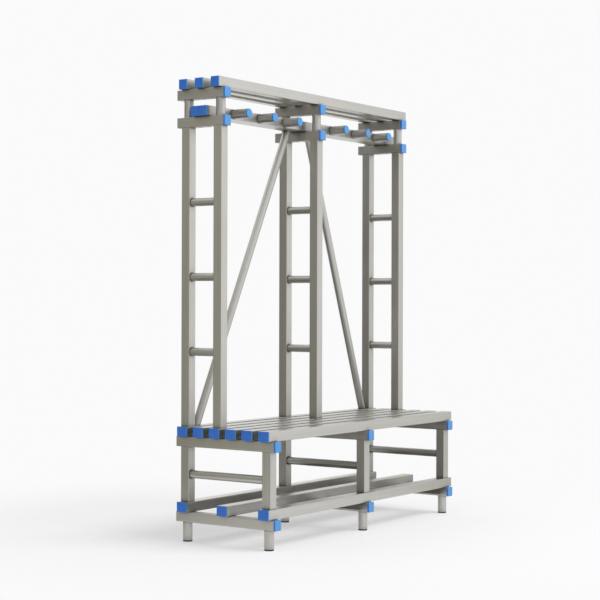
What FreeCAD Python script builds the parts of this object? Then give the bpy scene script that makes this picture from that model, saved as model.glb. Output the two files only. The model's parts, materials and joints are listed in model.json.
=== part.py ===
import FreeCAD, Part
import os

# A free-standing changing room bench with a coat rack. All sizes are in millimetres.
# +X runs along the seat, -Y is the side where people sit and +Z is up.
# The origin lies on the floor under the middle of the bench.
#
# Three frames carry the long tubes. In each frame round core tubes stand on plastic feet,
# and everything square is threaded on them like beads: the cross bearers, the long tubes and
# the posts, which are sleeves that keep the levels apart. The bare cores show only as the
# feet and as the short stubs under the hat shelf.

# Tube stock
TUBE = 40.0  # side of the square tube, and height of the flat tube
BOARD = 50.0  # width of the flat tube of the seat and the shoe shelf
WALL = 1.0  # wall of the square and flat tube
BEND = 1.0  # inside corner radius of the square and flat tube
CORE_WALL = 1.5  # wall of the round core tube, which the coat pegs are cut from too
RUNG_SIZE = 32.0  # outside diameter of the rungs and braces
RUNG_WALL = 1.5

# Fits, each measured on one side
SLEEVE_GAP = 0.25  # between a core and the inside of the posts threaded on it
HOLE_GAP = 0.1  # round a core or a screw in its drilled hole
PLUG_GAP = 0.1  # between a cap's body and the bore that it closes
PLUG_ROOM = 3.0  # between the inner end of a plug and the nearest core

# Levels, from the floor up
FOOT_HEIGHT = 78.0  # floor to the underside of the floor bearers
LEG_HEIGHT = 218.0  # leg posts, between the shoe shelf and the seat bearers
RACK_HEIGHT = 1182.0  # rack posts, between the seat and the rack bearers
STUB_HEIGHT = 70.0  # bare cores between the rack bearers and the top bearers
LEG_RUNGS = 1
RACK_RUNGS = 3

# Plan
LENGTH = 1400.0  # whole bench along the seat, caps included
END_REACH = 40.0  # from an end frame to the ends of the long tubes, caps included
ROW_STEP = 80.0  # spacing of the seat boards
SEAT_BOARDS = 6
RACK_ROW = 2  # board on which the front rack posts stand, counted from 0 at the back
BEARER_REACH = 43.0  # from the outermost core to the end of a bearer, cap included
RACK_REACH = 36.0  # the same at the front of the rack and the top bearers

# Coat pegs
PEG_STEP = 175.0  # spacing of the pegs, counted from the middle frame
PEGS_PER_BAY = 3
PEG_REACH = 80.0  # from the rail's face to the tip of a peg, cap included

# Braces
BRACE_FOOT = 50.0  # from an end frame to the foot of its brace
BRACE_HEAD = 75.0  # from the middle frame to the head of each brace

# Plastic plugs
CAP_HEAD = 5.0  # thickness of a cap's head
PLUG_WALL = 2.0  # wall of a plug's hollow body, and of its outer face
FOOT_HEAD = 5.0  # thickness of a foot below its core
STEM = 20.0  # length of a foot or a peg cap inside its round tube
CAP_EDGE = 1.5  # bevel round the head of a cap or a foot

# Screws that hold the long tubes with no core
SCREW_SIZE = 6.0
SCREW_TAIL = 8.0  # length past the wall that the screw grips
SCREW_HEAD_SIZE = 12.0
SCREW_HEAD_HEIGHT = 3.5
ACCESS_SIZE = 14.0  # hole in a bearer's floor, through which the screw is put in

# Sizes and places that follow from those above
CORE_SIZE = TUBE - 2 * (WALL + SLEEVE_GAP)
BORE = CORE_SIZE - 2 * CORE_WALL
CORE_BEVEL = BEND - SLEEVE_GAP
HALF_TUBE = TUBE / 2
HALF_LENGTH = LENGTH / 2
TUBE_END = HALF_LENGTH - CAP_HEAD
FRAME_STEP = HALF_LENGTH - END_REACH  # from the middle frame to each end frame

SHELF_Z = FOOT_HEIGHT + TUBE
LEG_Z = SHELF_Z + TUBE
SEAT_BEARER_Z = LEG_Z + LEG_HEIGHT
SEAT_Z = SEAT_BEARER_Z + TUBE
POST_Z = SEAT_Z + TUBE
RACK_BEARER_Z = POST_Z + RACK_HEIGHT
RAIL_Z = RACK_BEARER_Z + TUBE
TOP_BEARER_Z = RAIL_Z + STUB_HEIGHT
HAT_Z = TOP_BEARER_Z + TUBE
TOP_Z = HAT_Z + TUBE

FRAMES = {"left": -FRAME_STEP, "middle": 0.0, "right": FRAME_STEP}
ROWS = [ROW_STEP * ((SEAT_BOARDS - 1) / 2 - row) for row in range(SEAT_BOARDS)]
SCREWED_ROWS = [row for row in range(1, SEAT_BOARDS - 1) if row != RACK_ROW]
BACK_Y = ROWS[0]
RACK_Y = ROWS[RACK_ROW]
FRONT_Y = ROWS[-1]
SHELF_Y = (BACK_Y + FRONT_Y) / 2  # middle tube of the shoe shelf
RAIL_Y = (BACK_Y + RACK_Y) / 2  # joint of the two rail tubes, and middle of the hat shelf
BACK_RAIL_Y = RAIL_Y + HALF_TUBE
FRONT_RAIL_Y = RAIL_Y - HALF_TUBE
SEAT_END = FRONT_Y - BEARER_REACH  # front ends of the bearers, caps included
RACK_END = RACK_Y - RACK_REACH

# Each kind of bearer: its underside, its front end, the cores that go right through it, the
# cores that stand in it, and its screws
BEARERS = {
    "floor": (FOOT_HEIGHT, SEAT_END, [BACK_Y, FRONT_Y], [], [SHELF_Y]),
    "seat": (SEAT_BEARER_Z, SEAT_END, [BACK_Y, FRONT_Y], [RACK_Y], [ROWS[row] for row in SCREWED_ROWS]),
    "rack": (RACK_BEARER_Z, RACK_END, [BACK_Y, RACK_Y], [], [BACK_RAIL_Y, FRONT_RAIL_Y]),
    "top": (TOP_BEARER_Z, RACK_END, [BACK_Y, RACK_Y], [], [RAIL_Y]),
}

# A piece is drawn upright along +Z and then turned by one of these. A tube or a cap that is
# turned to the right or the left has its width across the bench.
UPRIGHT = FreeCAD.Rotation()
UPSIDE_DOWN = FreeCAD.Rotation(FreeCAD.Vector(1, 0, 0), 180)
TO_FRONT = FreeCAD.Rotation(FreeCAD.Vector(1, 0, 0), 90)
TO_BACK = FreeCAD.Rotation(FreeCAD.Vector(1, 0, 0), -90)
TO_RIGHT = FreeCAD.Rotation(FreeCAD.Vector(1, 1, 1), 120)
TO_LEFT = FreeCAD.Rotation(FreeCAD.Vector(0, 0, 1), 180) * TO_RIGHT


def at(x, y, z):
    return FreeCAD.Vector(x, y, z)


def placed(shape, position, turn=UPRIGHT):
    """A copy of a shape, turned about its own origin and moved to a position."""
    copy = shape.copy()
    copy.Placement = FreeCAD.Placement(position, turn)
    return copy


def save(name, shapes):
    """One file for each node: a single solid, or a group of identical ones."""
    solids = [solid for shape in shapes for solid in shape.Solids]
    node = solids[0] if len(solids) == 1 else Part.makeCompound(solids)
    node.exportStep("parts/%s.step" % name)
    print("%-22s %2d solids  %8.1f cm3" % (name, len(solids), node.Volume / 1000))


# Tubes


def rounded_face(width, height, radius):
    """A rectangle about the origin in XY with rounded corners."""
    across = width / 2 - radius
    up = height / 2 - radius
    corners = ((across, up), (-across, up), (-across, -up), (across, -up))
    arcs = []
    for turn, (x, y) in enumerate(corners):
        arcs.append(Part.makeCircle(radius, at(x, y, 0), at(0, 0, 1), 90 * turn, 90 * turn + 90))
    outline = []
    for arc, following in zip(arcs, arcs[1:] + arcs[:1]):
        outline.append(arc)
        outline.append(Part.makeLine(arc.lastVertex().Point, following.firstVertex().Point))
    return Part.Face(Part.Wire(outline))


def square_tube(width, length):
    """A drawn tube of the given width and the common height, along Z from the origin."""
    outside = rounded_face(width, TUBE, BEND + WALL)
    inside = rounded_face(width - 2 * WALL, TUBE - 2 * WALL, BEND)
    return outside.cut(inside).extrude(at(0, 0, length)).Solids[0]


def turned(profile):
    """A round piece about Z from its half section, as closed (radius, height) points."""
    points = [at(radius, 0, height) for radius, height in profile]
    section = Part.Face(Part.makePolygon(points + points[:1]))
    return section.revolve(at(0, 0, 0), at(0, 0, 1), 360)


def round_tube(size, wall, length):
    """A round tube along Z from the origin, cut square."""
    outside = Part.makeCylinder(size / 2, length)
    return outside.cut(Part.makeCylinder(size / 2 - wall, length))


def drill(size, x, y, low, high):
    """An upright cutter that leaves the drilling gap round what goes through the hole."""
    return Part.makeCylinder(size / 2 + HOLE_GAP, high - low, at(x, y, low))


def bearer(x, low, front, through, standing, screws):
    """A cross bearer from behind its back core to in front of its front core.

    Its front end leaves room for the cap's head, and its back end is flush with its plug.
    """
    back = BACK_Y + BEARER_REACH
    length = back - front - CAP_HEAD
    tube = placed(square_tube(TUBE, length), at(x, back, low + HALF_TUBE), TO_FRONT)
    cutters = [drill(CORE_SIZE, x, y, low, low + TUBE) for y in through]
    cutters += [drill(CORE_SIZE, x, y, low + HALF_TUBE, low + TUBE) for y in standing]
    cutters += [drill(SCREW_SIZE, x, y, low + HALF_TUBE, low + TUBE) for y in screws]
    cutters += [drill(ACCESS_SIZE, x, y, low, low + HALF_TUBE) for y in screws]
    return tube.cut(cutters)


def long_tube(width, y, low, hole, depth):
    """A tube along the bench with a hole of the same depth, from below, over each frame."""
    start = at(-TUBE_END, y, low + HALF_TUBE)
    tube = placed(square_tube(width, 2 * TUBE_END), start, TO_RIGHT)
    return tube.cut([drill(hole, x, y, low, low + depth) for x in FRAMES.values()])


def threaded_tube(width, y, low):
    """A long tube that the cores go right through."""
    return long_tube(width, y, low, CORE_SIZE, TUBE)


def topping_tube(width, y, low):
    """A long tube that the cores end in, against the inside of its top wall."""
    return long_tube(width, y, low, CORE_SIZE, HALF_TUBE)


def screwed_tube(width, y, low):
    """A long tube with no core, held by a screw through its floor at each frame."""
    return long_tube(width, y, low, SCREW_SIZE, HALF_TUBE)


def core(x, y, low, high):
    """A core tube with bevelled ends, which clear the rounded corners inside the tubes."""
    rim = CORE_SIZE / 2
    length = high - low
    profile = (
        (BORE / 2, 0),
        (rim - CORE_BEVEL, 0),
        (rim, CORE_BEVEL),
        (rim, length - CORE_BEVEL),
        (rim - CORE_BEVEL, length),
        (BORE / 2, length),
    )
    return placed(turned(profile), at(x, y, low))


def post(x, y, low, length):
    return placed(square_tube(TUBE, length), at(x, y, low))


def ladder_rungs(x, front_core, low, length, count):
    """Rungs cut square, set between the flat faces of two posts at even steps."""
    back = BACK_Y - HALF_TUBE
    front = front_core + HALF_TUBE
    rung = round_tube(RUNG_SIZE, RUNG_WALL, back - front)
    step = length / (count + 1)
    heights = [low + step * turn for turn in range(1, count + 1)]
    return [placed(rung, at(x, back, height), TO_FRONT) for height in heights]


def brace(side):
    """A round tube that leans from the back seat board to the back rail.

    It is cut level at both ends, so that it stands flat on the board and meets the rail flat.
    """
    foot = at(side * (FRAME_STEP - BRACE_FOOT), BACK_Y, POST_Z)
    head = at(side * BRACE_HEAD, BACK_RAIL_Y, RAIL_Z)
    along = head - foot
    spare = FreeCAD.Vector(along).normalize() * RUNG_SIZE
    length = along.Length + 2 * spare.Length
    turn = FreeCAD.Rotation(at(0, 0, 1), along)
    tube = placed(round_tube(RUNG_SIZE, RUNG_WALL, length), foot - spare, turn)
    width = 2 * HALF_LENGTH
    height = RAIL_Z - POST_Z
    room = Part.makeBox(width, width, height, at(-HALF_LENGTH, -HALF_LENGTH, POST_Z))
    return tube.common(room)


# Plastic plugs, drawn with the end of their tube at the origin and +Z pointing out of it


def plug_body(width, depth, gap):
    """The part of a square plug that goes inside the tube, still solid."""
    across = width - 2 * (WALL + gap)
    up = TUBE - 2 * (WALL + gap)
    return rounded_face(across, up, BEND).extrude(at(0, 0, -depth))


def hollowed(plug, width, gap):
    """A square plug emptied from its inner end, as it is moulded, to an even wall all round."""
    across = width - 2 * (WALL + gap + PLUG_WALL)
    up = TUBE - 2 * (WALL + gap + PLUG_WALL)
    depth = plug.BoundBox.ZLength - PLUG_WALL
    return plug.cut(Part.makeBox(across, up, depth, at(-across / 2, -up / 2, plug.BoundBox.ZMin)))


def square_cap(width, reach):
    """A cap with a bevelled head over the tube end, and a body that stops short of the core."""
    head = rounded_face(width, TUBE, BEND + WALL).extrude(at(0, 0, CAP_HEAD))
    rim = [edge for edge in head.Edges if edge.BoundBox.ZMin > CAP_HEAD - CAP_EDGE]
    head = head.makeChamfer(CAP_EDGE, rim)
    body = plug_body(width, reach - CAP_HEAD - CORE_SIZE / 2 - PLUG_ROOM, PLUG_GAP)
    return hollowed(head.fuse(body).removeSplitter(), width, PLUG_GAP)


def flush_plug(reach):
    """A plug with no head, pressed in without a gap until it is level with the tube's end."""
    return hollowed(plug_body(TUBE, reach - CORE_SIZE / 2 - PLUG_ROOM, 0), TUBE, 0)


def round_cap(thickness):
    """A cap for a round tube, in one piece: a bevelled head and a stem, both hollow."""
    rim = CORE_SIZE / 2
    stem = BORE / 2 - PLUG_GAP
    hollow = stem - PLUG_WALL
    roof = thickness - PLUG_WALL
    profile = (
        (0, roof),
        (hollow, roof),
        (hollow, -STEM),
        (stem, -STEM),
        (stem, 0),
        (rim, 0),
        (rim, thickness - CAP_EDGE),
        (rim - CAP_EDGE, thickness),
        (0, thickness),
    )
    return turned(profile)


def screw():
    """A screw with its head inside a bearer, which goes up through the roof into a long tube.

    It is drawn with the joint of the bearer and the long tube at the origin.
    """
    under = at(0, 0, -WALL - SCREW_HEAD_HEIGHT)
    head = Part.makeCylinder(SCREW_HEAD_SIZE / 2, SCREW_HEAD_HEIGHT, under)
    shank = Part.makeCylinder(SCREW_SIZE / 2, 2 * WALL + SCREW_TAIL, at(0, 0, -WALL))
    return head.fuse(shank).removeSplitter()


def both_ends(cap, places):
    """A cap for both ends of each long tube, from the tubes' places as (y, underside)."""
    left = [placed(cap, at(-TUBE_END, y, low + HALF_TUBE), TO_LEFT) for y, low in places]
    right = [placed(cap, at(TUBE_END, y, low + HALF_TUBE), TO_RIGHT) for y, low in places]
    return left + right


os.makedirs("parts", exist_ok=True)

# The three frames
for side, x in FRAMES.items():
    for level, layout in BEARERS.items():
        save("%s_%s_bearer" % (side, level), [bearer(x, *layout)])
    save(side + "_back_core", [core(x, BACK_Y, FOOT_HEAD, TOP_Z - WALL)])
    save(side + "_front_core", [core(x, FRONT_Y, FOOT_HEAD, POST_Z - WALL)])
    save(side + "_rack_core", [core(x, RACK_Y, SEAT_BEARER_Z + WALL, TOP_Z - WALL)])
    save(side + "_back_leg", [post(x, BACK_Y, LEG_Z, LEG_HEIGHT)])
    save(side + "_front_leg", [post(x, FRONT_Y, LEG_Z, LEG_HEIGHT)])
    save(side + "_back_rack_post", [post(x, BACK_Y, POST_Z, RACK_HEIGHT)])
    save(side + "_front_rack_post", [post(x, RACK_Y, POST_Z, RACK_HEIGHT)])
    rungs = ladder_rungs(x, FRONT_Y, LEG_Z, LEG_HEIGHT, LEG_RUNGS)
    rungs += ladder_rungs(x, RACK_Y, POST_Z, RACK_HEIGHT, RACK_RUNGS)
    save(side + "_rungs", rungs)

# Shoe shelf
save("shelf_tube_back", [threaded_tube(BOARD, BACK_Y, SHELF_Z)])
save("shelf_tube_middle", [screwed_tube(BOARD, SHELF_Y, SHELF_Z)])
save("shelf_tube_front", [threaded_tube(BOARD, FRONT_Y, SHELF_Z)])

# Seat: the rack's cores go through their boards, and the front cores end in the front board
for row, y in enumerate(ROWS):
    if row in SCREWED_ROWS:
        board = screwed_tube(BOARD, y, SEAT_Z)
    elif row < SEAT_BOARDS - 1:
        board = threaded_tube(BOARD, y, SEAT_Z)
    else:
        board = topping_tube(BOARD, y, SEAT_Z)
    save("seat_board_%d" % (row + 1), [board])

# Peg rail and hat shelf
save("peg_rail_back", [screwed_tube(TUBE, BACK_RAIL_Y, RAIL_Z)])
save("peg_rail_front", [screwed_tube(TUBE, FRONT_RAIL_Y, RAIL_Z)])
save("hat_tube_back", [topping_tube(TUBE, BACK_Y, HAT_Z)])
save("hat_tube_middle", [screwed_tube(TUBE, RAIL_Y, HAT_Z)])
save("hat_tube_front", [topping_tube(TUBE, RACK_Y, HAT_Z)])

# Coat pegs, set square on the face of the front rail
peg_face = FRONT_RAIL_Y - HALF_TUBE
peg_end = peg_face - PEG_REACH + CAP_HEAD
peg_z = RAIL_Z + HALF_TUBE
peg_places = [side * PEG_STEP * turn for side in (-1, 1) for turn in range(1, PEGS_PER_BAY + 1)]
peg = round_tube(CORE_SIZE, CORE_WALL, peg_face - peg_end)
peg_cap = round_cap(CAP_HEAD)
save("coat_pegs", [placed(peg, at(x, peg_face, peg_z), TO_FRONT) for x in peg_places])
save("peg_caps", [placed(peg_cap, at(x, peg_end, peg_z), TO_FRONT) for x in peg_places])

# Braces, which lean inwards from the end frames to the middle of the rail
save("left_brace", [brace(-1)])
save("right_brace", [brace(1)])

# Caps on the ends of the long tubes
boards = [(y, SHELF_Z) for y in (BACK_Y, SHELF_Y, FRONT_Y)] + [(y, SEAT_Z) for y in ROWS]
rack_tubes = [(y, RAIL_Z) for y in (BACK_RAIL_Y, FRONT_RAIL_Y)]
rack_tubes += [(y, HAT_Z) for y in (BACK_Y, RAIL_Y, RACK_Y)]
save("board_end_caps", both_ends(square_cap(BOARD, END_REACH), boards))
save("rack_end_caps", both_ends(square_cap(TUBE, END_REACH), rack_tubes))

# Each bearer has a cap on its front end, a flush plug in its back end and its screws, which
# hold the long tubes that have no core
bearer_cap = square_cap(TUBE, RACK_REACH)
bearer_plug = flush_plug(BEARER_REACH)
bearer_screw = screw()
front_caps = []
back_plugs = []
tube_screws = []
for x in FRAMES.values():
    for low, front, through, standing, screws in BEARERS.values():
        tube_front = at(x, front + CAP_HEAD, low + HALF_TUBE)
        tube_back = at(x, BACK_Y + BEARER_REACH, low + HALF_TUBE)
        front_caps.append(placed(bearer_cap, tube_front, TO_FRONT))
        back_plugs.append(placed(bearer_plug, tube_back, TO_BACK))
        tube_screws += [placed(bearer_screw, at(x, y, low + TUBE)) for y in screws]
save("bearer_front_caps", front_caps)
save("bearer_back_plugs", back_plugs)
save("tube_screws", tube_screws)

# Feet under the cores that reach the floor
foot = round_cap(FOOT_HEAD)
foot_places = [at(x, y, FOOT_HEAD) for x in FRAMES.values() for y in (BACK_Y, FRONT_Y)]
save("feet", [placed(foot, place, UPSIDE_DOWN) for place in foot_places])
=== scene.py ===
# %% [markdown]
# # A changing room bench with a coat rack
#
# The real bench is a stack of satin steel tubes. Three ladder frames stand side by side, and long tubes
# lie across them as the shoe shelf, the seat, the peg rail and the hat shelf. Plastic caps and plugs close
# every open end.
#
# The measured solids of all the tubes are loaded first, as a fixed frame. Where a tube already has its
# true shape, this lesson only gives it a finish. Small moulded and welded pieces are modelled here in
# mesh code.

# %% Load the measured frame
import json
import math

import bmesh
import bpy
from mathutils import Matrix, Vector


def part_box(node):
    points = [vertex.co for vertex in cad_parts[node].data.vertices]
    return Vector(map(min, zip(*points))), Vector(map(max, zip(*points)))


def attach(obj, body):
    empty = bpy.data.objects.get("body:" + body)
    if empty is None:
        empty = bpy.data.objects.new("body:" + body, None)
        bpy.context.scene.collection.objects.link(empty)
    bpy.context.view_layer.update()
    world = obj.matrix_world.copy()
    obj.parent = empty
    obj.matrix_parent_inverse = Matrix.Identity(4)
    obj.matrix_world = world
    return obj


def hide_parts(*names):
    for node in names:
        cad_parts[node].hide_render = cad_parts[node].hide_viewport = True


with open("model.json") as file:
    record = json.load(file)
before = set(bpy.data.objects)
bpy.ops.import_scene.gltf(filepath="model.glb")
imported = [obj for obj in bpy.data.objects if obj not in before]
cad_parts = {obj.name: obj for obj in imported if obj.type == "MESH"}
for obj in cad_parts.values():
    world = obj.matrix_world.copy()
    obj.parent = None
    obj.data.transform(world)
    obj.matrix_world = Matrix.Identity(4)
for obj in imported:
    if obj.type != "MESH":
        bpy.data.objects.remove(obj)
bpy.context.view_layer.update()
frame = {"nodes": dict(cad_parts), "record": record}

# %% [markdown]
# ## The camera
#
# A camera can be placed by eye, or worked out from the picture. Here nearly sixty tube edges of the
# photograph were measured and a camera was fitted to them. It stands six and a half metres away, a little
# under a metre high, and looks level, so the uprights stay parallel. A level camera with a long lens is
# what gives such pictures their calm look.

# %% Stand the camera where the picture was taken
SENSOR_WIDTH = 36.0
LENS_LENGTH = 92.18
CAMERA_PLACE = (-5.3907, -3.6692, 0.9422)
CAMERA_DEGREES = (90.141, -0.152, -54.874)

camera_lens = bpy.data.cameras.new("picture_camera")
camera_lens.sensor_width = SENSOR_WIDTH
camera_lens.lens = LENS_LENGTH
camera = bpy.data.objects.new("picture_camera", camera_lens)
camera.location = CAMERA_PLACE
camera.rotation_euler = [math.radians(angle) for angle in CAMERA_DEGREES]
bpy.context.collection.objects.link(camera)
bpy.context.scene.camera = camera
print("camera at", CAMERA_PLACE, "with a lens of", LENS_LENGTH, "mm")

# %% [markdown]
# ## Wiring with nodes
#
# The world, the floor and every finish below are trees of nodes. They could be wired by hand in the
# editor, but a tree in code can be read from top to bottom and used again. Short helpers keep it
# readable: one adds a node with its settings, one moves a value from one range to another, and one writes
# a colour as sockets want it.

# %% Helpers for node trees
def add_node(tree, kind, values=None, **settings):
    node = tree.nodes.new(kind)
    for name, value in settings.items():
        setattr(node, name, value)
    for socket, value in (values or {}).items():
        node.inputs[socket].default_value = value
    return node


def remap(tree, value, source=(0.0, 1.0), target=(0.0, 1.0), blend="LINEAR"):
    """A value moved from a source range to a target range, and held at its ends."""
    limits = {"From Min": source[0], "From Max": source[1], "To Min": target[0], "To Max": target[1]}
    node = add_node(tree, "ShaderNodeMapRange", limits, interpolation_type=blend)
    tree.links.new(value, node.inputs["Value"])
    return node.outputs["Result"]


def shade(colour, level=1.0):
    """A colour made darker or lighter, with the fourth number that sockets want."""
    return tuple(level * c for c in colour) + (1.0,)


print("helpers for node trees ready")

# %% [markdown]
# ## The white studio
#
# The background is a plain white, and satin steel shows whatever stands around it, so the studio matters
# as much as the finish. The world is white where the camera, a reflection or clear plastic sees it, and
# dimmer as a lamp, so that the large soft box in front gives the bench its light side. A lamp mirrored in
# steel burns out to a white patch, so reflections do not see the soft box: steel mirrors only the room
# and what hangs there.

# %% White world
AMBIENT_LIGHT = 0.55
BACKGROUND_WHITE = (0.96, 0.96, 0.965)


def seen_directly(tree):
    """One where the camera, a reflection or clear plastic looks, and zero where only light is gathered."""
    ray = add_node(tree, "ShaderNodeLightPath")
    seen = ray.outputs["Is Camera Ray"]
    for kind in ("Is Glossy Ray", "Is Transmission Ray"):
        either = add_node(tree, "ShaderNodeMath", operation="MAXIMUM")
        tree.links.new(seen, either.inputs[0])
        tree.links.new(ray.outputs[kind], either.inputs[1])
        seen = either.outputs[0]
    return seen


def white_world():
    world = bpy.data.worlds.new("white_studio")
    world.use_nodes = True
    tree = world.node_tree
    sky = tree.nodes["Background"]
    sky.inputs["Color"].default_value = shade(BACKGROUND_WHITE)
    level = remap(tree, seen_directly(tree), target=(AMBIENT_LIGHT, 1.0))
    tree.links.new(level, sky.inputs["Strength"])
    return world


bpy.context.scene.world = white_world()
bpy.context.scene.view_settings.view_transform = "Standard"
print("white world, ambient level", AMBIENT_LIGHT)

# %% Soft box in front
SOFT_BOX_POWER = 620.0
SOFT_BOX_SIZE = (7.2, 5.4)
SOFT_BOX_PLACE = Vector((1.6, -6.5, 8.3))
BENCH_MIDDLE = Vector((0.0, 0.0, 0.8))

lamp = bpy.data.lights.new("front_soft_box", "AREA")
lamp.shape = "RECTANGLE"
lamp.size, lamp.size_y = SOFT_BOX_SIZE
lamp.energy = SOFT_BOX_POWER
soft_box = bpy.data.objects.new("front_soft_box", lamp)
soft_box.location = SOFT_BOX_PLACE
soft_box.rotation_euler = (BENCH_MIDDLE - SOFT_BOX_PLACE).to_track_quat("-Z", "Y").to_euler()
soft_box.visible_glossy = False
bpy.context.collection.objects.link(soft_box)
print("soft box of", SOFT_BOX_POWER, "watts")

# %% [markdown]
# ## The floor
#
# A plain pale floor catches the shadow of the bench. It is a round sheet that fades into the white
# background at its rim, because a hard edge or a horizon line would draw the eye away from the bench. Its
# finish starts from the standard surface shader, as every later one does. What is the same all over a
# surface goes straight into that shader, and only what varies comes through a wire.

# %% Helpers for finishes
def new_finish(name, **constants):
    finish = bpy.data.materials.new(name)
    finish.use_nodes = True
    shader = finish.node_tree.nodes["Principled BSDF"]
    for socket, value in constants.items():
        shader.inputs[socket.replace("_", " ")].default_value = value
    return finish, finish.node_tree, shader


def even_noise(tree, scale, detail):
    place = add_node(tree, "ShaderNodeTexCoord")
    noise = add_node(tree, "ShaderNodeTexNoise", {"Scale": scale, "Detail": detail})
    tree.links.new(place.outputs["Object"], noise.inputs["Vector"])
    return noise.outputs["Fac"]


def tone_ramp(tree, value, positions, tones):
    """Two tones, blended along a value between two positions."""
    ramp = add_node(tree, "ShaderNodeValToRGB")
    for stop, position, tone in zip(ramp.color_ramp.elements, positions, tones):
        stop.position = position
        stop.color = tone
    tree.links.new(value, ramp.inputs["Fac"])
    return ramp.outputs["Color"]


print("helpers for finishes ready")

# %% Pale floor that fades out
FLOOR_RADIUS = 2.4
FLOOR_SEGMENTS = 96
FLOOR_SOLID = 0.5  # distance from the middle at which the floor starts to fade
FLOOR_CLEAR = 0.95 * FLOOR_RADIUS  # distance at which it has faded out
FLOOR_LEVELS = (0.61, 0.63)
FLOOR_ROUGHNESS = 0.9
FLOOR_LIFT = 0.395  # light added where the floor is seen, up to the white of the background
SPECKLE_SCALE = 60.0
SPECKLE_DETAIL = 4.0


def floor_finish():
    finish, tree, shader = new_finish("pale_floor", Roughness=FLOOR_ROUGHNESS, Specular_IOR_Level=0.0,
                                      Emission_Color=shade(BACKGROUND_WHITE))
    speckle = even_noise(tree, SPECKLE_SCALE, SPECKLE_DETAIL)
    tone = tone_ramp(tree, speckle, (0.0, 1.0), [shade((level, level, level)) for level in FLOOR_LEVELS])
    tree.links.new(tone, shader.inputs["Base Color"])
    place = add_node(tree, "ShaderNodeTexCoord")
    reach = add_node(tree, "ShaderNodeVectorMath", operation="LENGTH")
    tree.links.new(place.outputs["Object"], reach.inputs[0])
    fade = remap(tree, reach.outputs["Value"], (FLOOR_SOLID, FLOOR_CLEAR), (1.0, 0.0), "SMOOTHSTEP")
    tree.links.new(fade, shader.inputs["Alpha"])
    lift = remap(tree, seen_directly(tree), target=(0.0, FLOOR_LIFT))
    tree.links.new(lift, shader.inputs["Emission Strength"])
    return finish


def mesh_from(work, name, finish):
    mesh = bpy.data.meshes.new(name)
    work.to_mesh(mesh)
    work.free()
    mesh.materials.append(finish)
    return mesh


def stage_sheet(work, name, finish):
    sheet = bpy.data.objects.new(name, mesh_from(work, name, finish))
    bpy.context.collection.objects.link(sheet)
    return sheet


floor_work = bmesh.new()
bmesh.ops.create_circle(floor_work, cap_ends=True, segments=FLOOR_SEGMENTS, radius=FLOOR_RADIUS)
stage_sheet(floor_work, "floor", floor_finish())
print("floor radius", FLOOR_RADIUS)

# %% [markdown]
# ## The glowing ring seen in reflections
#
# In the picture the left sides of the tubes are much darker than their fronts, although both are the same
# steel: they mirror a dark part of the room. Photographers hang cloth round the set for that. Here a
# glowing
# ring stands in for that cloth: it lights nothing, casts no shadow and only reflections see it, so the
# shade it gives the steel is a painted reflection. Shade painted on the steel would look the same from
# every side, and a reflection does not. The ring glows black from the back to the left, grey at the right
# and pale elsewhere, and a little dimmer near the floor.

# %% Glowing ring round the set, seen only in reflections
BLACK = (0.0, 0.0, 0.0)
RING_REACH = 3.6
RING_FOOT = -0.6
RING_TOP = 3.0
RING_SEGMENTS = 90
# How bright the ring glows at each angle round the bench, in degrees from the right end
RING_GLOW_TONES = ((-180, 0.05), (-163, 0.60), (-125, 0.70), (-98, 0.85), (-60, 1.12), (-42, 1.12), (-33, 1.01),
               (0, 0.44), (22, 0.78), (45, 0.98), (94, 0.96), (114, 0.05), (150, 0.05))
GLOW_TINT = (1.0, 0.97, 0.80)
TINTED_BELOW = 0.5  # darker tones than this take the tint
RING_GLOW_RISE = (0.05, 0.45)  # heights between which the ring glows brighter
RING_GLOW_LEVELS = (0.86, 1.05)


def glow_ring_finish():
    """A glow seen only in reflections, whose tone changes with the angle round the bench and is a little
    dimmer near the floor.
    """
    finish, tree, shader = new_finish("glow_ring_for_reflections", Base_Color=shade(BLACK))
    place = add_node(tree, "ShaderNodeTexCoord")
    parts = add_node(tree, "ShaderNodeSeparateXYZ")
    angle = add_node(tree, "ShaderNodeMath", operation="ARCTAN2")
    tree.links.new(place.outputs["Object"], parts.inputs["Vector"])
    tree.links.new(parts.outputs["Y"], angle.inputs[0])
    tree.links.new(parts.outputs["X"], angle.inputs[1])

    tone = add_node(tree, "ShaderNodeValToRGB")
    stops = tone.color_ramp.elements
    while len(stops) < len(RING_GLOW_TONES):
        stops.new(1.0)
    for stop, (degrees, level) in zip(stops, RING_GLOW_TONES):
        stop.position = (degrees + 180) / 360
        stop.color = shade(GLOW_TINT if level < TINTED_BELOW else BACKGROUND_WHITE, level)
    tree.links.new(remap(tree, angle.outputs[0], (-math.pi, math.pi)), tone.inputs["Fac"])
    tree.links.new(tone.outputs["Color"], shader.inputs["Emission Color"])
    rise = remap(tree, parts.outputs["Z"], RING_GLOW_RISE, RING_GLOW_LEVELS)
    tree.links.new(rise, shader.inputs["Emission Strength"])
    return finish


# A glowing sheet that lights nothing and casts no shadow, seen only in reflections: a painted reflection.
def hang_unseen(work, name, finish):
    glow_sheet = stage_sheet(work, name, finish)
    glow_sheet.visible_camera = False
    glow_sheet.visible_diffuse = False
    glow_sheet.visible_shadow = False


ring_work = bmesh.new()
bmesh.ops.create_cone(ring_work, segments=RING_SEGMENTS, radius1=RING_REACH, radius2=RING_REACH,
                      depth=RING_TOP - RING_FOOT,
                      matrix=Matrix.Translation((0.0, 0.0, (RING_TOP + RING_FOOT) / 2)))
hang_unseen(ring_work, "glow_ring_for_reflections", glow_ring_finish())
print("ring of cloth", RING_REACH, "m away,", RING_TOP, "m high")
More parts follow.
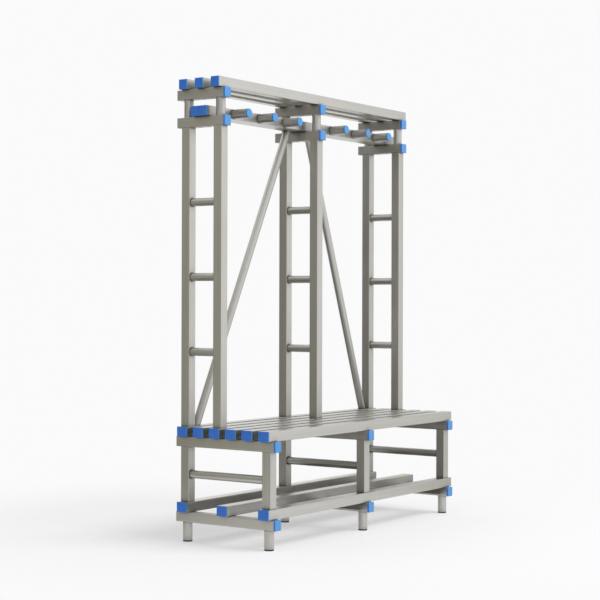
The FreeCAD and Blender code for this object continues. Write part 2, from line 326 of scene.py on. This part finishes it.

# %% [markdown]
# ## Glowing cards near the bench
#
# A ring far away shades every frame alike, so smaller glowing cards, also seen only in reflections, do the
# rest. A pale card close to the left end paints a lighter reflection on the nearest frame than on the two
# behind it. A dark sheet on the floor behind is what the pegs and rungs mirror from below, a dark sheet
# under the shoe shelf stands for the shadow under the bench and paints shade on the inner shelf tubes, and
# a grey sheet in front tones the right end.

# %% Glowing cards and sheets, seen only in reflections
PALE_TONE = 0.44
GREY_TONE = 0.40
DARK_TONE = 0.05
JUST_OVER_FLOOR = 0.004
UNDER_SHELF = 0.085
LYING = Matrix.Identity(4)
ON_EDGE = Matrix.Rotation(math.radians(90.0), 4, "Y")
CARD_CELLS = 4
CARD_HALF = 0.5  # every card is stretched from a square of one metre
# The tone of each card, its width and depth, its place, and how it is turned
CARDS = {"pale_glow_card": (PALE_TONE, (2.3, 1.42), (-1.6, 0.610, 0.85), ON_EDGE),
         "dark_reflection_sheet_behind": (DARK_TONE, (4.2, 2.6), (-1.1, 1.9, JUST_OVER_FLOOR), LYING),
         "painted_shadow_sheet_below": (DARK_TONE, (1.8, 0.42), (0.30, 0.01, UNDER_SHELF), LYING),
         "grey_glow_sheet_in_front": (GREY_TONE, (2.2, 1.5), (2.3, -1.15, JUST_OVER_FLOOR), LYING)}


# Each card glows and only reflections see it: a painted reflection, and under the shelf a painted shadow.
def flat_card(name, tone, size, place, turn):
    finish, _, _ = new_finish(name, Base_Color=shade(BLACK), Emission_Color=shade(GLOW_TINT, tone),
                              Emission_Strength=1.0)
    stretch = Matrix.Diagonal((*size, 1.0, 1.0))
    work = bmesh.new()
    bmesh.ops.create_grid(work, x_segments=CARD_CELLS, y_segments=CARD_CELLS, size=CARD_HALF,
                          matrix=Matrix.Translation(place) @ turn @ stretch)
    hang_unseen(work, name, finish)


for name, card in CARDS.items():
    flat_card(name, *card)
print("cards of tone", PALE_TONE, GREY_TONE, DARK_TONE)

# %% [markdown]
# ## Brushed steel
#
# The tubes are stainless steel with a satin brush that runs along each tube. Brushing could be drawn with
# an anisotropic shader, but that needs a direction on every face, which loaded solids do not carry. Here
# two stretched noises draw it: fine scratches that move the roughness and the surface, and broad drawing
# lines that shift the tone a little, as on real stock. A third, nearly even noise stands for hand marks.
# Where tubes meet the colour is darkened, partly as soil and partly as painted shade, and in the narrow
# gaps of the seat it is darkened as painted shade. The long tubes are polished a little smoother, and
# mirror the posts that stand on them.

# %% Noise drawn out along a tube
STROKE_ROUGHNESS = 0.6
NOISE_SPAN = (0.3, 0.7)  # where nearly all of a noise lies
RELIEF_STRENGTH = 0.12


def stretched_noise(tree, along, width, length, detail):
    place = add_node(tree, "ShaderNodeTexCoord")
    fit = add_node(tree, "ShaderNodeMapping", {"Scale": (width, width, length)}, vector_type="TEXTURE")
    fit.inputs["Rotation"].default_value = Vector((0, 0, 1)).rotation_difference(Vector(along)).to_euler()
    texture = {"Scale": 1.0, "Detail": detail, "Roughness": STROKE_ROUGHNESS}
    noise = add_node(tree, "ShaderNodeTexNoise", texture)
    tree.links.new(place.outputs["Object"], fit.inputs["Vector"])
    tree.links.new(fit.outputs["Vector"], noise.inputs["Vector"])
    return noise.outputs["Fac"]


def relief(tree, height, depth):
    bump = add_node(tree, "ShaderNodeBump", {"Strength": RELIEF_STRENGTH, "Distance": depth})
    tree.links.new(height, bump.inputs["Height"])
    return bump.outputs["Normal"]


print("noise is read between", NOISE_SPAN)

# %% Soil and painted shade where pieces are close
SOIL_AND_SHADE_SPAN = (0.35, 0.9)  # openness of a corner, from fully darkened by soil and painted shade to clean
SOIL_AND_SHADE_SAMPLES = 6
# Numbers of the colour sockets of a mix node
FIRST_COLOUR = 6
SECOND_COLOUR = 7
MIXED_COLOUR = 2


def soil_and_painted_shade(tree, colour, reach, darkest):
    """Darkens a colour where another piece is close: partly soil, partly painted shade."""
    close = add_node(tree, "ShaderNodeAmbientOcclusion", {"Distance": reach}, samples=SOIL_AND_SHADE_SAMPLES)
    depth = remap(tree, close.outputs["AO"], SOIL_AND_SHADE_SPAN, (darkest, 1.0))
    soil_and_shade = add_node(tree, "ShaderNodeMix", {"Factor": 1.0}, data_type="RGBA", blend_type="MULTIPLY")
    tree.links.new(colour, soil_and_shade.inputs[FIRST_COLOUR])
    tree.links.new(depth, soil_and_shade.inputs[SECOND_COLOUR])
    return soil_and_shade.outputs[MIXED_COLOUR]


print("soil is read from", SOIL_AND_SHADE_SAMPLES, "rays at each point")

# %% Brushed steel finish
STEEL_LIGHT = (0.608, 0.600, 0.568)
STEEL_DULL = (0.528, 0.520, 0.490)
SCRATCHES = {"width": 0.0005, "length": 0.08, "detail": 3.0}
DRAWING_LINES = {"width": 0.005, "length": 0.9, "detail": 2.0}
HAND_MARKS = {"width": 0.11, "length": 0.16, "detail": 3.0}
GROOVE_DEPTH = 0.00004
# darkening where pieces meet: partly soil, partly painted shade
SOIL_AND_SHADE_REACH = 0.009
SOIL_AND_SHADE_DARKEST = 0.35
# darkening in the narrow gaps of the seat: painted shade
GAP_SHADE_REACH = 0.038
GAP_SHADE_DARKEST = 0.55
SATIN_GLOSS = (0.34, 0.50)  # roughness, from smooth strokes to dull ones
SMOOTHER_GLOSS = (0.24, 0.38)


def brushed_steel(name, along, gloss_range=SATIN_GLOSS):
    finish, tree, shader = new_finish(name, Metallic=1.0)
    scratches = stretched_noise(tree, along, **SCRATCHES)
    drawing_lines = stretched_noise(tree, along, **DRAWING_LINES)
    hand_marks = stretched_noise(tree, along, **HAND_MARKS)

    tone = tone_ramp(tree, drawing_lines, NOISE_SPAN, (shade(STEEL_DULL), shade(STEEL_LIGHT)))
    # painted shade in the seat gaps, then soil and painted shade where pieces meet
    gap_shaded = soil_and_painted_shade(tree, tone, GAP_SHADE_REACH, GAP_SHADE_DARKEST)
    tree.links.new(soil_and_painted_shade(tree, gap_shaded, SOIL_AND_SHADE_REACH, SOIL_AND_SHADE_DARKEST), shader.inputs["Base Color"])

    marks = add_node(tree, "ShaderNodeMath", operation="ADD")
    tree.links.new(scratches, marks.inputs[0])
    tree.links.new(hand_marks, marks.inputs[1])
    gloss = remap(tree, marks.outputs[0], [2 * level for level in NOISE_SPAN], gloss_range)
    tree.links.new(gloss, shader.inputs["Roughness"])
    tree.links.new(relief(tree, scratches, GROOVE_DEPTH), shader.inputs["Normal"])
    return finish


steel_lengthwise = brushed_steel("steel_brushed_lengthwise", (1, 0, 0), SMOOTHER_GLOSS)
steel_front_to_back = brushed_steel("steel_brushed_front_to_back", (0, 1, 0))
steel_upright = brushed_steel("steel_brushed_upright", (0, 0, 1))
print("three brushed finishes made")

# %% [markdown]
# ## Dressing the straight tubes
#
# The loaded tubes are hollow, drilled and rounded along their edges exactly as measured, so they stay and
# only take a finish. They could all share one finish, but the brush has to run along each tube: uprights,
# bearers and long tubes each get their own.

# %% Finish for each straight tube
SIDES = ("left", "middle", "right")
LEVELS = ("floor", "seat", "rack", "top")
SEAT_BOARDS = 6
UPRIGHTS = ("back_core", "front_core", "rack_core", "back_leg", "front_leg",
            "back_rack_post", "front_rack_post")


def dress(node, finish):
    for face_slot in frame["nodes"][node].material_slots:
        face_slot.material = finish


uprights = [f"{side}_{piece}" for side in SIDES for piece in UPRIGHTS]
bearers = [f"{side}_{level}_bearer" for side in SIDES for level in LEVELS]
rungs = [f"{side}_rungs" for side in SIDES]
long_tubes = [f"seat_board_{row}" for row in range(1, SEAT_BOARDS + 1)]
long_tubes += [f"{kind}_tube_{row}" for kind in ("shelf", "hat") for row in ("back", "middle", "front")]
long_tubes += ["peg_rail_back", "peg_rail_front"]
for node in uprights:
    dress(node, steel_upright)
for node in bearers + rungs + ["coat_pegs"]:
    dress(node, steel_front_to_back)
for node in long_tubes:
    dress(node, steel_lengthwise)
print("dressed", len(uprights), "uprights,", len(bearers), "bearers,", len(long_tubes), "long tubes")

# %% [markdown]
# ## The leaning braces
#
# Two round braces lean from the seat up to the peg rail. An upright finish would cut across them at a
# slant. Their brush lines lean with them, so each brace gets a finish whose direction is read from the
# brace's own box.

# %% Finish for each brace
BRACES = ("left_brace", "right_brace")
RUNG_SIZE = 0.032  # outer diameter of the rungs and the braces


def brace_direction(node):
    low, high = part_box(node)
    lean = 1.0 if node.startswith("left") else -1.0
    across = high.x - low.x - RUNG_SIZE
    forward = high.y - low.y - RUNG_SIZE
    return Vector((lean * across, -forward, high.z - low.z)).normalized()


for node in BRACES:
    dress(node, brushed_steel("steel_brushed_" + node, brace_direction(node)))
    print(node, "leans along", tuple(round(c, 3) for c in brace_direction(node)))

# %% [markdown]
# ## Rings and skins
#
# Caps, feet, screws and plugs are all made in the same way as on a lathe or in a mould: a row of
# outlines, one above the other, with a skin between them. A subdivided cube would round every edge alike.
# With rings, each edge gets the radius that the mould gave it.

# %% Outlines and the skin over them
CORNER_STEPS = 5
ROUND_STEPS = 48


def square_outline(width, depth, corner):
    points = []
    for quarter in range(4):
        side_x = 1 if quarter in (0, 3) else -1
        side_y = 1 if quarter in (0, 1) else -1
        for step in range(CORNER_STEPS + 1):
            turn = math.radians(90.0 * (quarter + step / CORNER_STEPS))
            points.append((side_x * (width / 2 - corner) + corner * math.cos(turn),
                           side_y * (depth / 2 - corner) + corner * math.sin(turn)))
    return points


def round_outline(size, count=ROUND_STEPS):
    turns = [math.tau * i / count for i in range(count)]
    return [(size / 2 * math.cos(turn), size / 2 * math.sin(turn)) for turn in turns]


def skin(work, outlines, place):
    """One closed shell over (outline, height) pairs, moved by a matrix to where it belongs."""
    loops = []
    for outline, height in outlines:
        loops.append([work.verts.new(place @ Vector((x, y, height))) for x, y in outline])
    for lower, upper in zip(loops, loops[1:]):
        for i in range(len(lower)):
            j = (i + 1) % len(lower)
            work.faces.new((lower[i], lower[j], upper[j], upper[i]))
    work.faces.new(loops[0][::-1])
    work.faces.new(loops[-1])


print("a round outline has", ROUND_STEPS, "points")

# %% Turning a skin into a piece of the bench
SHARP_DEGREES = 40
MOSTLY_UPRIGHT = 0.5  # a direction that rises or drops more than this counts as upright


def facing(point, direction):
    """A matrix whose own height runs along a direction."""
    height = Vector(direction).normalized()
    up = Vector((0, 1, 0)) if abs(height.z) > MOSTLY_UPRIGHT else Vector((0, 0, 1))
    across = up.cross(height)
    turn = Matrix((across, height.cross(across), height)).transposed().to_4x4()
    return Matrix.Translation(point) @ turn


def finished_piece(work, name, finish, slot, *stands_for):
    bmesh.ops.recalc_face_normals(work, faces=work.faces)
    mesh = mesh_from(work, name, finish)
    mesh.shade_smooth()
    mesh.set_sharp_from_angle(angle=math.radians(SHARP_DEGREES))
    piece = bpy.data.objects.new(name, mesh)
    bpy.context.collection.objects.link(piece)
    piece.modifiers.new("even_shading", "WEIGHTED_NORMAL").keep_sharp = True
    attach(piece, "root")
    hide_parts(*stands_for)
    print(name, "has", len(mesh.polygons), "faces")


# %% [markdown]
# ## Blue moulded plastic
#
# The caps are injection moulded in a mid blue with a satin skin. A moulded skin is not one flat blue: it
# has a very fine grain, slow shifts of tone and gloss from the melt, and edges that handling has rubbed
# paler. In the picture the faces that look out into the room are paler than those at the ends of the
# bench, and that paler blue is painted on them as painted front light. It could be painted on those faces
# one by one. Here the finish asks each point which way it faces.

# %% Moulded plastic finish
FLOW_SCALE = 35.0
FLOW_DETAIL = 3.0
FLOW_LEVELS = (0.9, 1.08)
GRAIN_SCALE = 1800.0
GRAIN_DETAIL = 2.0
GRAIN_DEPTH = 0.0001
PAINTED_FRONT_LIGHT_SPAN = (-0.35, -0.95)  # Y of a face's direction, from where the painted front light starts to where it is full
EDGE_SPAN = (0.54, 0.62)  # pointiness of an edge, from untouched to rubbed
MOST_RUBBED = 0.45
# darkening of the caps where pieces meet: partly soil, partly painted shade
CAP_SOIL_AND_SHADE_REACH = 0.008
CAP_SOIL_AND_SHADE_DARKEST = 0.25


def blend_to(tree, colour, other_colour, amount):
    """Blends a colour towards another one as an amount goes from zero to one."""
    blend = add_node(tree, "ShaderNodeMix", data_type="RGBA")
    blend.inputs[SECOND_COLOUR].default_value = shade(other_colour)
    tree.links.new(amount, blend.inputs["Factor"])
    tree.links.new(colour, blend.inputs[FIRST_COLOUR])
    return blend.outputs[MIXED_COLOUR]


def moulded_plastic(name, fresh, front_lit, worn, gloss_range, shine):
    finish, tree, shader = new_finish(name, Specular_IOR_Level=shine)
    flow = even_noise(tree, FLOW_SCALE, FLOW_DETAIL)
    grain = even_noise(tree, GRAIN_SCALE, GRAIN_DETAIL)
    shape = add_node(tree, "ShaderNodeNewGeometry")
    direction = add_node(tree, "ShaderNodeSeparateXYZ")
    tree.links.new(shape.outputs["Normal"], direction.inputs["Vector"])

    tone = tone_ramp(tree, flow, NOISE_SPAN, [shade(fresh, level) for level in FLOW_LEVELS])
    # painted front light: faces that look to the front are blended to the paler blue
    painted_front_light = remap(tree, direction.outputs["Y"], PAINTED_FRONT_LIGHT_SPAN, blend="SMOOTHSTEP")
    edge = remap(tree, shape.outputs["Pointiness"], EDGE_SPAN, (0.0, MOST_RUBBED))
    rubbed = blend_to(tree, blend_to(tree, tone, front_lit, painted_front_light), worn, edge)
    # the caps darkened where pieces meet, partly as soil and partly as painted shade
    soiled_and_shaded = soil_and_painted_shade(tree, rubbed, CAP_SOIL_AND_SHADE_REACH, CAP_SOIL_AND_SHADE_DARKEST)
    tree.links.new(soiled_and_shaded, shader.inputs["Base Color"])

    tree.links.new(remap(tree, flow, NOISE_SPAN, gloss_range), shader.inputs["Roughness"])
    tree.links.new(relief(tree, grain, GRAIN_DEPTH), shader.inputs["Normal"])
    return finish


# the second colour is a paler blue painted on the front faces as painted front light
cap_blue = moulded_plastic("cap_blue_plastic", fresh=(0.016, 0.205, 0.82), front_lit=(0.065, 0.325, 0.76),
                           worn=(0.14, 0.42, 0.86), gloss_range=(0.30, 0.42), shine=0.8)
# the feet: the cap blue painted dark navy, as painted shade at the floor
foot_shaded_blue = moulded_plastic("foot_blue_painted_shade", fresh=(0.018, 0.030, 0.085), front_lit=(0.022, 0.036, 0.095),
                            worn=(0.05, 0.07, 0.13), gloss_range=(0.50, 0.65), shine=0.5)
print("two moulded finishes made")

# %% [markdown]
# ## Square end caps
#
# Each long tube and each bearer ends in a push-in cap: a flat head as wide as the tube, and a hollow
# spigot that grips inside. A plain block would do for the head, but it would catch no light along its
# edges. This head stands five millimetres proud, with a soft rim and a slightly crowned face. How proud it
# stands is read from the measured frame, so the visible cap and the solid one always agree.

# %% Outlines of a push-in cap
CAP_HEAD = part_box("seat_board_1")[0].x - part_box("board_end_caps")[0].x
TUBE_WALL = 0.001
TUBE_CORNER = 0.002
SPIGOT_DEPTH = 0.009
SPIGOT_WALL = 0.002
SPIGOT_PLAY = 0.0001
SPIGOT_CORNER = 0.0010
BORE_CORNER = 0.0006
LEAD_LENGTH = 0.0015  # the tapered end that leads a spigot into its tube
LEAD_TAPER = 0.001
LEAD_CORNER = 0.0008
SHOULDER = 0.0004  # how much narrower a head is where it meets the tube
EDGE_BREAK = 0.0003
RIM_RADIUS = 0.0022
RIM_STEPS = 4
FACE_CROWN = 0.0002
CROWN_PULL = 0.35  # share of the width by which the crowned face draws in
LAP_PROUD = 0.00025


def turned_rim(radius, steps):
    """How far in and how far up a quarter round goes, from the side of a head to its face."""
    for step in range(steps + 1):
        turn = math.radians(90.0 * step / steps)
        yield radius * (1 - math.cos(turn)), radius * math.sin(turn)


def spigot_rows(inner, face, depth):
    """The hollow of a spigot and its tapered end, as (growth over the tube, corner, height) rows."""
    bore = inner - 2 * SPIGOT_WALL
    return [(bore, BORE_CORNER, face - SPIGOT_WALL), (bore, BORE_CORNER, -depth),
            (inner - LEAD_TAPER, LEAD_CORNER, -depth), (inner, SPIGOT_CORNER, LEAD_LENGTH - depth)]


def square_outlines(width, depth, rows):
    return [(square_outline(width + grow, depth + grow, corner), height) for grow, corner, height in rows]


def cap_outlines(width, depth, lap=0.0):
    inner = -2 * (TUBE_WALL + SPIGOT_PLAY)
    rows = spigot_rows(inner, CAP_HEAD, SPIGOT_DEPTH) + [(inner, SPIGOT_CORNER, 0.0)]
    proud = 0.0
    if lap:
        proud = 2 * LAP_PROUD
        rows += [(0.0, TUBE_CORNER, 0.0), (0.0, TUBE_CORNER, -lap), (proud, TUBE_CORNER, EDGE_BREAK - lap)]
    else:
        rows += [(-SHOULDER, TUBE_CORNER, 0.0), (0.0, TUBE_CORNER, EDGE_BREAK)]
    rim_foot = CAP_HEAD - FACE_CROWN - RIM_RADIUS
    for pull, rise in turned_rim(RIM_RADIUS, RIM_STEPS):
        rows.append((proud - 2 * pull, TUBE_CORNER, rim_foot + rise))
    rows.append((-CROWN_PULL * width, TUBE_CORNER, CAP_HEAD))
    return square_outlines(width, depth, rows)


print("cap heads stand", round(CAP_HEAD, 4), "m proud")

# %% Caps on the long tubes
def tube_ends(nodes):
    """The middle of each end of each long tube, which way it faces, and the tube's width and height."""
    for node in nodes:
        low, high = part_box(node)
        middle = (low + high) / 2
        for end, way in ((low.x, -1), (high.x, 1)):
            yield Vector((end, middle.y, middle.z)), (way, 0, 0), high.y - low.y, high.z - low.z


def cap_long_tubes(name, stands_for, kinds):
    work = bmesh.new()
    for point, way, width, height in tube_ends([node for node in long_tubes if node.startswith(kinds)]):
        skin(work, cap_outlines(width, height), facing(point, way))
    finished_piece(work, name, cap_blue, "cap_plastic", stands_for)


cap_long_tubes("blue_board_caps", "board_end_caps", ("seat", "shelf"))
cap_long_tubes("blue_rack_caps", "rack_end_caps", ("hat", "peg"))

# %% [markdown]
# ## Caps and plugs of the bearers
#
# A bearer lies front to back under the long tubes. Its front end has the same blue cap, where knees and
# bags touch it. In the picture these caps show a broader blue side than those of the long tubes. A
# thicker head would make the bench deeper, so their rim laps three millimetres over the steel instead.
# The back end stands to the wall, and a flat plug sits inside it, level with the steel.

# %% Front caps and back plugs
FRONT_LAP = 0.003
PLUG_DEPTH = 0.018
PLUG_EDGE = ((0.0, -0.0006), (-0.0003, -0.0002), (-0.0010, 0.0))  # growth and height along its soft edge


def plug_outlines(width, depth):
    inner = -2 * TUBE_WALL
    rows = spigot_rows(inner, 0.0, PLUG_DEPTH)
    rows += [(inner + grow, SPIGOT_CORNER, height) for grow, height in PLUG_EDGE]
    return square_outlines(width, depth, rows)


front_caps = bmesh.new()
back_plugs = bmesh.new()
for node in bearers:
    low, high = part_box(node)
    middle = (low + high) / 2
    width = high.x - low.x
    height = high.z - low.z
    front_end = facing((middle.x, low.y, middle.z), (0, -1, 0))
    back_end = facing((middle.x, high.y, middle.z), (0, 1, 0))
    skin(front_caps, cap_outlines(width, height, FRONT_LAP), front_end)
    skin(back_plugs, plug_outlines(width, height), back_end)
finished_piece(front_caps, "blue_bearer_caps", cap_blue, "cap_plastic", "bearer_front_caps")
finished_piece(back_plugs, "blue_bearer_plugs", cap_blue, "cap_plastic", "bearer_back_plugs")

# %% [markdown]
# ## Peg caps and feet
#
# The coat pegs are short round tubes, and each ends in a round cap with a softly turned rim, so that it
# does not tear a coat. The feet are the same idea: a plug in the round leg that keeps steel off a wet
# floor, in the cap blue painted dark navy as painted shade at the floor. A squashed sphere would bulge too
# far, so both are rings again, with a rim and a low crown of their own.

# %% Round caps and foot plugs
ROUND_BORE = 0.0345  # inner diameter of the pegs and the round legs
STEM_DEPTH = 0.020
ROUND_RIM_STEPS = 6
PEG_CROWN = 0.0003
CROWN_ROWS = ((0.7, 0.45), (0.4, 0.12), (0.15, 0.0))  # share of the size, and of the crown still to rise
FOOT_RIM = 0.0010


def round_cap_outlines(size, head, rim, crown):
    stem = ROUND_BORE - 2 * SPIGOT_PLAY
    hollow = stem - 2 * SPIGOT_WALL
    rows = [(hollow, head - SPIGOT_WALL), (hollow, -STEM_DEPTH), (stem - LEAD_TAPER, -STEM_DEPTH),
            (stem, LEAD_LENGTH - STEM_DEPTH), (stem, 0.0), (size - SHOULDER, 0.0), (size, EDGE_BREAK)]
    for pull, rise in turned_rim(rim, ROUND_RIM_STEPS):
        rows.append((size - 2 * pull, head - crown - rim + rise))
    rows += [(share * size, head - drop * crown) for share, drop in CROWN_ROWS]
    return [(round_outline(across), height) for across, height in rows]


mounts = frame["record"]["mounts"]
peg_places = [mount["pos_m"] for mount in mounts if mount["name"].startswith("coat_peg")]
foot_places = [mount["pos_m"] for mount in mounts if mount["name"].startswith("foot")]
peg_low, peg_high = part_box("coat_pegs")
peg_size = peg_high.z - peg_low.z
peg_cap = round_cap_outlines(peg_size, CAP_HEAD, RIM_RADIUS, PEG_CROWN)
peg_caps = bmesh.new()
for x, _, z in peg_places:
    skin(peg_caps, peg_cap, facing((x, peg_low.y, z), (0, -1, 0)))
finished_piece(peg_caps, "blue_peg_caps", cap_blue, "cap_plastic", "peg_caps")

foot_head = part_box("left_back_core")[0].z
foot_plug = round_cap_outlines(peg_size, foot_head, FOOT_RIM, 0.0)
feet = bmesh.new()
for x, y, _ in foot_places:
    skin(feet, foot_plug, facing((x, y, foot_head), (0, 0, -1)))
finished_piece(feet, "shaded_blue_foot_plugs", foot_shaded_blue, "foot_plastic", "feet")

# %% [markdown]
# ## Screws inside the bearers
#
# Long tubes with no upright through them are held from below by button-head screws. Each head sits inside
# the bearer, under its roof, above a hole that lets the key in, so the bearer stays smooth where knees
# and coats touch it. A plain disc would do for the head at a distance, but through that hole the hexagon
# socket makes it a screw.

# %% Outlines of a button-head screw
SCREW_HEAD = 0.012
SCREW_HEIGHT = 0.0035
SCREW_SHANK = 0.006
TIP_TAPER = 0.0015
TIP_LENGTH = 0.0012
DOME_STEPS = 6
DOME_DEGREES = 78.0
DOME_PULL = 0.0058  # how much narrower the dome would be after a full quarter turn
SOCKET = 0.004
SOCKET_FLOOR = ((1.0, 0.0011), (0.4, 0.0008))  # share of the width, and height over the head's seat


def hexagon_outline(across_flats):
    points = []
    for i in range(ROUND_STEPS):
        turn = math.tau * i / ROUND_STEPS
        reach = across_flats / 2 / math.cos((turn + math.pi / 6) % (math.pi / 3) - math.pi / 6)
        points.append((reach * math.cos(turn), reach * math.sin(turn)))
    return points


def screw_outlines(shank_length):
    rows = [(SCREW_SHANK - TIP_TAPER, -shank_length), (SCREW_SHANK, TIP_LENGTH - shank_length),
            (SCREW_SHANK, 0.0), (SCREW_HEAD - SHOULDER, 0.0), (SCREW_HEAD, EDGE_BREAK)]
    for step in range(1, DOME_STEPS + 1):
        turn = math.radians(DOME_DEGREES * step / DOME_STEPS)
        rise = SCREW_HEIGHT * math.sin(turn) / math.sin(math.radians(DOME_DEGREES))
        rows.append((SCREW_HEAD - DOME_PULL * (1 - math.cos(turn)), rise))
    socket_rows = [(SOCKET + 2 * EDGE_BREAK, SCREW_HEIGHT), (SOCKET, SCREW_HEIGHT - EDGE_BREAK)]
    socket_rows += [(share * SOCKET, height) for share, height in SOCKET_FLOOR]
    return ([(round_outline(across), height) for across, height in rows]
            + [(hexagon_outline(across), height) for across, height in socket_rows])


print("screw heads are", SCREW_HEAD, "m across")

# %% Screws under the long tubes
SCREW_TAIL = 0.008  # how far a screw reaches past the two walls that it holds
SCREWED_TUBES = {"floor": ["shelf_tube_middle"], "seat": ["seat_board_2", "seat_board_4", "seat_board_5"],
                 "rack": ["peg_rail_back", "peg_rail_front"], "top": ["hat_tube_middle"]}

steel_screw = brushed_steel("screw_plain_steel", (0, 0, 1))
screw = screw_outlines(2 * TUBE_WALL + SCREW_TAIL)
screws = bmesh.new()
for side in SIDES:
    for level, tubes in SCREWED_TUBES.items():
        low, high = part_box(f"{side}_{level}_bearer")
        for tube in tubes:
            tube_low, tube_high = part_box(tube)
            point = ((low.x + high.x) / 2, (tube_low.y + tube_high.y) / 2, high.z - TUBE_WALL)
            skin(screws, screw, facing(point, (0, 0, -1)))
finished_piece(screws, "button_head_screws", steel_screw, "screw_steel", "tube_screws")

# %% [markdown]
# ## Weld beads
#
# Rungs, pegs, braces and round legs are welded where they meet another tube. A good weld in thin
# stainless is a narrow ring of small overlapping ripples. A plain ring would look like a rubber seal, so
# each bead is swept along the joint line with a radius that swells at every ripple. The heat leaves a
# dull brown tint, which is why the ends of the rungs show as dark rings in the picture.

# %% Sweeping a bead along a joint
SMALL_BEAD = 0.0014
RUNG_BEAD = 0.0020
RIPPLE_STEP = 0.0024
RIPPLE_SWELL = 0.10
BEAD_SIDES = 8
BEAD_POINTS = 176


def weld_bead(work, joint_line, bead=SMALL_BEAD):
    """A closed, rippled bead along the points of a joint."""
    count = len(joint_line)
    length = sum((joint_line[i] - joint_line[i - 1]).length for i in range(count))
    ripples = round(length / RIPPLE_STEP)
    middle = sum(joint_line, Vector()) / count
    unit_circle = round_outline(2.0, BEAD_SIDES)
    loops = []
    for i, point in enumerate(joint_line):
        forward = (joint_line[(i + 1) % count] - joint_line[i - 1]).normalized()
        outward = point - middle
        outward = (outward - forward * outward.dot(forward)).normalized()
        over = forward.cross(outward)
        swell = bead * (1.0 + RIPPLE_SWELL * math.sin(math.tau * ripples * i / count))
        loops.append([work.verts.new(point + swell * (outward * x + over * y)) for x, y in unit_circle])
    for i in range(count):
        for k in range(BEAD_SIDES):
            m = (k + 1) % BEAD_SIDES
            work.faces.new((loops[i - 1][k], loops[i - 1][m], loops[i][m], loops[i][k]))


def ring_line(place, size):
    return [place @ Vector((x, y, 0.0)) for x, y in round_outline(size, BEAD_POINTS)]


print("bead radius", SMALL_BEAD, "to", RUNG_BEAD, "ripple every", RIPPLE_STEP)

# %% Heat-tinted weld finish
WELD_DARK = (0.10, 0.09, 0.08)
WELD_STRAW = (0.26, 0.22, 0.17)
WELD_GLOSS = (0.45, 0.65)
HEAT_SCALE = 140.0
HEAT_DETAIL = 3.0
HEAT_SPAN = (0.35, 0.75)


def heat_tinted_weld(name):
    finish, tree, shader = new_finish(name, Metallic=1.0)
    heat = even_noise(tree, HEAT_SCALE, HEAT_DETAIL)
    tint = tone_ramp(tree, heat, HEAT_SPAN, (shade(WELD_DARK), shade(WELD_STRAW)))
    tree.links.new(tint, shader.inputs["Base Color"])
    tree.links.new(remap(tree, heat, target=WELD_GLOSS), shader.inputs["Roughness"])
    return finish


steel_weld = heat_tinted_weld("weld_steel")
print("weld finish made, from", WELD_DARK, "to", WELD_STRAW)

# %% Beads of the rungs
RACK_RUNGS = 3

rung_welds = bmesh.new()
for side in SIDES:
    leg_low, leg_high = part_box(f"{side}_back_leg")
    post_low, post_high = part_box(f"{side}_back_rack_post")
    leg_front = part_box(f"{side}_front_leg")[1].y
    post_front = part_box(f"{side}_front_rack_post")[1].y
    x = (leg_low.x + leg_high.x) / 2
    rack_height = post_high.z - post_low.z
    rung_places = [((leg_low.z + leg_high.z) / 2, leg_front)]
    for part in range(1, RACK_RUNGS + 1):
        rung_places.append((post_low.z + rack_height * part / (RACK_RUNGS + 1), post_front))
    for z, front in rung_places:
        for y, way in ((leg_low.y, -1), (front, 1)):
            weld_bead(rung_welds, ring_line(facing((x, y, z), (0, way, 0)), RUNG_SIZE), RUNG_BEAD)
finished_piece(rung_welds, "rung_weld_beads", steel_weld, "tube_steel")

# %% Beads of the pegs and the round legs
peg_welds = bmesh.new()
for x, _, z in peg_places:
    weld_bead(peg_welds, ring_line(facing((x, peg_high.y, z), (0, -1, 0)), peg_size))
finished_piece(peg_welds, "peg_weld_beads", steel_weld, "tube_steel")

bearer_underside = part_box("left_floor_bearer")[0].z
leg_welds = bmesh.new()
for x, y, _ in foot_places:
    weld_bead(leg_welds, ring_line(facing((x, y, bearer_underside), (0, 0, -1)), peg_size))
finished_piece(leg_welds, "leg_weld_beads", steel_weld, "tube_steel")

# %% Beads of the braces
def level_cut(direction):
    """The line round a leaning tube where a level plane cuts it."""
    turn = Vector((0, 0, 1)).rotation_difference(direction)
    line = []
    for x, y in round_outline(RUNG_SIZE, BEAD_POINTS):
        point = turn @ Vector((x, y, 0.0))
        line.append(point - direction * (point.z / direction.z))
    return line


brace_welds = bmesh.new()
for node in BRACES:
    low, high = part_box(node)
    direction = brace_direction(node)
    cut = level_cut(direction)
    foot_x, top_x = (low.x, high.x) if direction.x > 0 else (high.x, low.x)
    inward = Vector((math.copysign(max(p.x for p in cut), direction.x), -max(p.y for p in cut), 0.0))
    foot = Vector((foot_x, high.y, low.z)) + inward
    top = Vector((top_x, low.y, high.z)) - inward
    for centre in (foot, top):
        weld_bead(brace_welds, [centre + point for point in cut])
finished_piece(brace_welds, "brace_weld_beads", steel_weld, "tube_steel")
